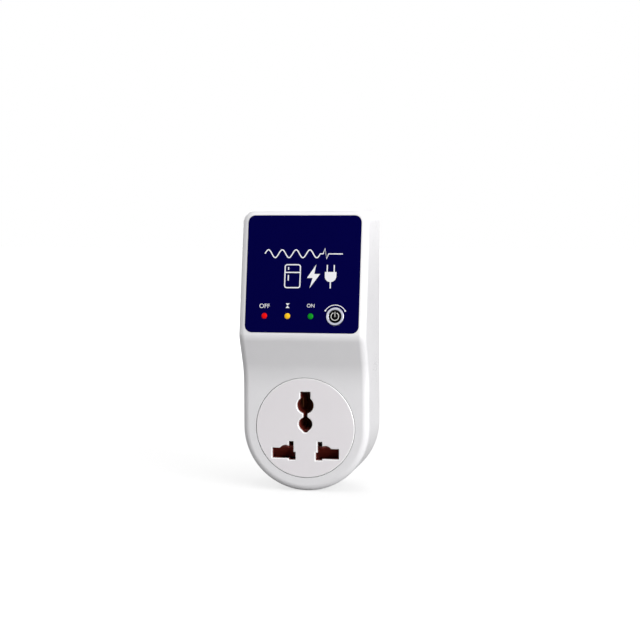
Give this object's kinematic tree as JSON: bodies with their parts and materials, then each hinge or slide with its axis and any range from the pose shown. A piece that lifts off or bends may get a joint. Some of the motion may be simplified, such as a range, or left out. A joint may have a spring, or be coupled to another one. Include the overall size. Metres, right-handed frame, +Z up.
{
  "type": "plug-in appliance voltage protector",
  "caption": "Plug-in voltage protector with flat pins on the back, a round universal socket, indicator lamps and a bypass button on a tilted deck.",
  "frame": {"origin": "on the rear wall face, on the centre line, midway between the plug's live and neutral pins", "axes": "+Z up, +Y out of the rear face into the wall, front faces -Y, +X to the right as seen from the front"},
  "size_m": [0.055, 0.0608, 0.1206],
  "materials": {
    "white_abs": "satin white moulded plastic",
    "blue_label": "dark blue printed overlay",
    "silver": "satin metal",
    "black_plastic": "satin black",
    "maroon_plastic": "maroon moulded plastic",
    "brass": "drawn brass",
    "steel": "zinc plated",
    "grey_plastic": "dark insulating sleeve",
    "fuse_ceramic": "ceramic barrel",
    "board_green": "solder mask",
    "relay_blue": "moulded case",
    "film_yellow": "moulded box",
    "lamp_red": "diffused lens",
    "lamp_yellow": "diffused lens",
    "lamp_green": "diffused lens",
    "lead_brown": "insulation",
    "lead_blue": "insulation",
    "lead_green": "insulation"
  },
  "bodies": {
    "housing": {"front_housing": "white_abs", "rear_housing": "white_abs", "label_panel": "blue_label", "button_ring": "silver", "socket_insert": "white_abs", "aperture_plate": "maroon_plastic", "shutter_springs": "steel", "socket_base": "maroon_plastic", "earth_collar": "maroon_plastic", "live_contact": "brass", "neutral_contact": "brass", "earth_contact": "brass", "socket_screws": "steel", "live_pin": "brass", "neutral_pin": "brass", "earth_pin": "brass", "live_pin_sleeve": "grey_plastic", "neutral_pin_sleeve": "grey_plastic", "pin_retainer": "white_abs", "retainer_screws": "steel", "supply_fuse_clip": "brass", "load_fuse_clip": "brass", "control_board": "board_green", "relay": "relay_blue", "film_capacitor": "film_yellow", "electrolytic_capacitor": "black_plastic", "varistor": "relay_blue", "rectifier_diodes": "black_plastic", "resistors": "fuse_ceramic", "comparator_chip": "black_plastic", "red_lamp": "lamp_red", "yellow_lamp": "lamp_yellow", "green_lamp": "lamp_green", "tact_switch": "black_plastic", "board_screws": "steel", "case_screws": "steel", "live_supply_lead": "lead_brown", "neutral_supply_lead": "lead_blue", "live_load_lead": "lead_brown", "neutral_load_lead": "lead_blue", "earth_lead": "lead_green"},
    "button": {"bypass_button": "black_plastic", "switch_plunger": "black_plastic"},
    "shutter": {"shutter": "maroon_plastic"},
    "carrier": {"fuse_carrier": "white_abs", "fuse": "fuse_ceramic"}
  },
  "joints": [
    {"name": "button_press", "type": "slide", "parent": "housing", "child": "button", "axis": [0, 0.9839, -0.1788], "range_m": [0, 0.0005], "stiffness_N_per_m": 2500, "springref_m": -0.0002},
    {"name": "shutter_slide", "type": "slide", "parent": "housing", "child": "shutter", "axis": [0, 0, 1], "range_m": [0, 0.0058], "stiffness_N_per_m": 200, "springref_m": -0.004, "deforming": ["shutter_springs"]},
    {"name": "carrier_pull", "type": "slide", "parent": "housing", "child": "carrier", "axis": [0, 1, 0], "range_m": [0, 0.012]}
  ]
}
